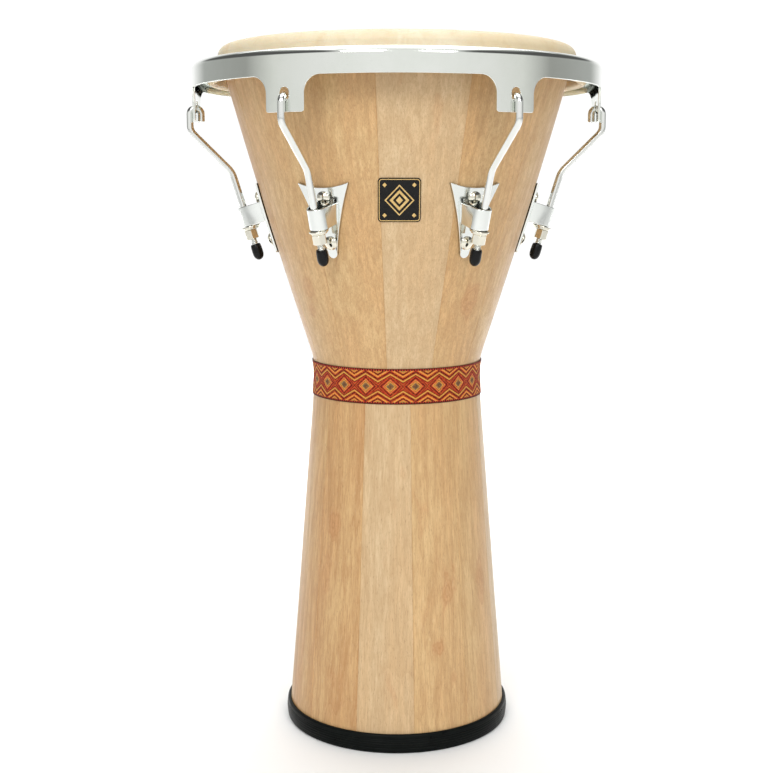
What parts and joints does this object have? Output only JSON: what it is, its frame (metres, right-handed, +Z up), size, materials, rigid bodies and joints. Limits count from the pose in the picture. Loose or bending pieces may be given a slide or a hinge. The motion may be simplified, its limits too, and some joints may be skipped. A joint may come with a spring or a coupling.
{
  "type": "djembe",
  "caption": "Goblet-shaped hand drum: stave shell with a flared bowl on a tapered foot, skin head pulled down by a steel rim on hooked, nut-tightened rods.",
  "frame": {"origin": "on the drum's axis, at the underside of the foot ring", "axes": "+Z up the drum's axis towards the head, -Y towards the badge"},
  "size_m": [0.3802, 0.366, 0.6224],
  "materials": {
    "bowl_wood": "satin",
    "stem_wood": "satin",
    "skin": "matte",
    "hoop_steel": "satin",
    "rim_chrome": "polished",
    "rod_chrome": "polished",
    "plate_chrome": "polished",
    "hardware_chrome": "polished",
    "rubber": "satin",
    "gasket_rubber": "matte",
    "backing_steel": "satin",
    "badge_plate": "gloss",
    "woven_band": "matte"
  },
  "bodies": {
    "shell": {"bowl_stave_01": "bowl_wood", "bowl_stave_02": "bowl_wood", "bowl_stave_03": "bowl_wood", "bowl_stave_04": "bowl_wood", "bowl_stave_05": "bowl_wood", "bowl_stave_06": "bowl_wood", "bowl_stave_07": "bowl_wood", "bowl_stave_08": "bowl_wood", "bowl_stave_09": "bowl_wood", "bowl_stave_10": "bowl_wood", "bowl_stave_11": "bowl_wood", "bowl_stave_12": "bowl_wood", "stem_stave_01": "stem_wood", "stem_stave_02": "stem_wood", "stem_stave_03": "stem_wood", "stem_stave_04": "stem_wood", "stem_stave_05": "stem_wood", "stem_stave_06": "stem_wood", "stem_stave_07": "stem_wood", "stem_stave_08": "stem_wood", "stem_stave_09": "stem_wood", "stem_stave_10": "stem_wood", "stem_stave_11": "stem_wood", "stem_stave_12": "stem_wood", "head": "skin", "flesh_hoop": "hoop_steel", "side_plates": "plate_chrome", "plate_gaskets": "gasket_rubber", "plate_bolts": "hardware_chrome", "backing_washers": "backing_steel", "backing_nuts": "backing_steel", "badge": "badge_plate", "waist_band": "woven_band", "foot_ring": "rubber"},
    "rim": {"rim": "rim_chrome"},
    "rod_1": {"tuning_rod_1": "rod_chrome", "rod_tip_1": "rubber"},
    "washer_1": {"washer_1": "hardware_chrome"},
    "nut_1": {"lug_nut_1": "hardware_chrome"},
    "rod_2": {"tuning_rod_2": "rod_chrome", "rod_tip_2": "rubber"},
    "washer_2": {"washer_2": "hardware_chrome"},
    "nut_2": {"lug_nut_2": "hardware_chrome"},
    "rod_3": {"tuning_rod_3": "rod_chrome", "rod_tip_3": "rubber"},
    "washer_3": {"washer_3": "hardware_chrome"},
    "nut_3": {"lug_nut_3": "hardware_chrome"},
    "rod_4": {"tuning_rod_4": "rod_chrome", "rod_tip_4": "rubber"},
    "washer_4": {"washer_4": "hardware_chrome"},
    "nut_4": {"lug_nut_4": "hardware_chrome"},
    "rod_5": {"tuning_rod_5": "rod_chrome", "rod_tip_5": "rubber"},
    "washer_5": {"washer_5": "hardware_chrome"},
    "nut_5": {"lug_nut_5": "hardware_chrome"},
    "rod_6": {"tuning_rod_6": "rod_chrome", "rod_tip_6": "rubber"},
    "washer_6": {"washer_6": "hardware_chrome"},
    "nut_6": {"lug_nut_6": "hardware_chrome"}
  },
  "joints": [
    {"name": "rim_travel", "type": "slide", "parent": "shell", "child": "rim", "axis": [0, 0, 1], "range_m": [0, 0.004]},
    {"name": "hook_swing_1", "type": "hinge", "parent": "rim", "child": "rod_1", "pos_m": [-0.09087, 0.1574, 0.5663], "axis": [0.866, 0.5, 0], "range_deg": [0, 0.8]},
    {"name": "washer_slide_1", "type": "slide", "parent": "rod_1", "child": "washer_1", "axis": [0.1462, -0.2532, -0.9563], "range_m": [0, 0.0038]},
    {"name": "nut_spin_1", "type": "hinge", "parent": "washer_1", "child": "nut_1", "pos_m": [-0.0663, 0.11483, 0.45684], "axis": [0.1462, -0.2532, -0.9563], "range_deg": [0, 1080]},
    {"name": "hook_swing_2", "type": "hinge", "parent": "rim", "child": "rod_2", "pos_m": [-0.18175, 0, 0.5663], "axis": [0, 1, 0], "range_deg": [0, 0.8]},
    {"name": "washer_slide_2", "type": "slide", "parent": "rod_2", "child": "washer_2", "axis": [0.2924, 0, -0.9563], "range_m": [0, 0.0038]},
    {"name": "nut_spin_2", "type": "hinge", "parent": "washer_2", "child": "nut_2", "pos_m": [-0.1326, 0, 0.45684], "axis": [0.2924, 0, -0.9563], "range_deg": [0, 1080]},
    {"name": "hook_swing_3", "type": "hinge", "parent": "rim", "child": "rod_3", "pos_m": [-0.09087, -0.1574, 0.5663], "axis": [-0.866, 0.5, 0], "range_deg": [0, 0.8]},
    {"name": "washer_slide_3", "type": "slide", "parent": "rod_3", "child": "washer_3", "axis": [0.1462, 0.2532, -0.9563], "range_m": [0, 0.0038]},
    {"name": "nut_spin_3", "type": "hinge", "parent": "washer_3", "child": "nut_3", "pos_m": [-0.0663, -0.11483, 0.45684], "axis": [0.1462, 0.2532, -0.9563], "range_deg": [0, 1080]},
    {"name": "hook_swing_4", "type": "hinge", "parent": "rim", "child": "rod_4", "pos_m": [0.09087, -0.1574, 0.5663], "axis": [-0.866, -0.5, 0], "range_deg": [0, 0.8]},
    {"name": "washer_slide_4", "type": "slide", "parent": "rod_4", "child": "washer_4", "axis": [-0.1462, 0.2532, -0.9563], "range_m": [0, 0.0038]},
    {"name": "nut_spin_4", "type": "hinge", "parent": "washer_4", "child": "nut_4", "pos_m": [0.0663, -0.11483, 0.45684], "axis": [-0.1462, 0.2532, -0.9563], "range_deg": [0, 1080]},
    {"name": "hook_swing_5", "type": "hinge", "parent": "rim", "child": "rod_5", "pos_m": [0.18175, 0, 0.5663], "axis": [0, -1, 0], "range_deg": [0, 0.8]},
    {"name": "washer_slide_5", "type": "slide", "parent": "rod_5", "child": "washer_5", "axis": [-0.2924, 0, -0.9563], "range_m": [0, 0.0038]},
    {"name": "nut_spin_5", "type": "hinge", "parent": "washer_5", "child": "nut_5", "pos_m": [0.1326, 0, 0.45684], "axis": [-0.2924, 0, -0.9563], "range_deg": [0, 1080]},
    {"name": "hook_swing_6", "type": "hinge", "parent": "rim", "child": "rod_6", "pos_m": [0.09087, 0.1574, 0.5663], "axis": [0.866, -0.5, 0], "range_deg": [0, 0.8]},
    {"name": "washer_slide_6", "type": "slide", "parent": "rod_6", "child": "washer_6", "axis": [-0.1462, -0.2532, -0.9563], "range_m": [0, 0.0038]},
    {"name": "nut_spin_6", "type": "hinge", "parent": "washer_6", "child": "nut_6", "pos_m": [0.0663, 0.11483, 0.45684], "axis": [-0.1462, -0.2532, -0.9563], "range_deg": [0, 1080]}
  ],
  "couplings": [
    {"joint": "hook_swing_1", "follows": "rim_travel", "rad_per_m": 2.8649},
    {"joint": "washer_slide_1", "follows": "rim_travel", "ratio": 0.91333},
    {"joint": "nut_spin_1", "follows": "rim_travel", "rad_per_m": 4518.6},
    {"joint": "hook_swing_2", "follows": "rim_travel", "rad_per_m": 2.8649},
    {"joint": "washer_slide_2", "follows": "rim_travel", "ratio": 0.91333},
    {"joint": "nut_spin_2", "follows": "rim_travel", "rad_per_m": 4518.6},
    {"joint": "hook_swing_3", "follows": "rim_travel", "rad_per_m": 2.8649},
    {"joint": "washer_slide_3", "follows": "rim_travel", "ratio": 0.91333},
    {"joint": "nut_spin_3", "follows": "rim_travel", "rad_per_m": 4518.6},
    {"joint": "hook_swing_4", "follows": "rim_travel", "rad_per_m": 2.8649},
    {"joint": "washer_slide_4", "follows": "rim_travel", "ratio": 0.91333},
    {"joint": "nut_spin_4", "follows": "rim_travel", "rad_per_m": 4518.6},
    {"joint": "hook_swing_5", "follows": "rim_travel", "rad_per_m": 2.8649},
    {"joint": "washer_slide_5", "follows": "rim_travel", "ratio": 0.91333},
    {"joint": "nut_spin_5", "follows": "rim_travel", "rad_per_m": 4518.6},
    {"joint": "hook_swing_6", "follows": "rim_travel", "rad_per_m": 2.8649},
    {"joint": "washer_slide_6", "follows": "rim_travel", "ratio": 0.91333},
    {"joint": "nut_spin_6", "follows": "rim_travel", "rad_per_m": 4518.6}
  ]
}
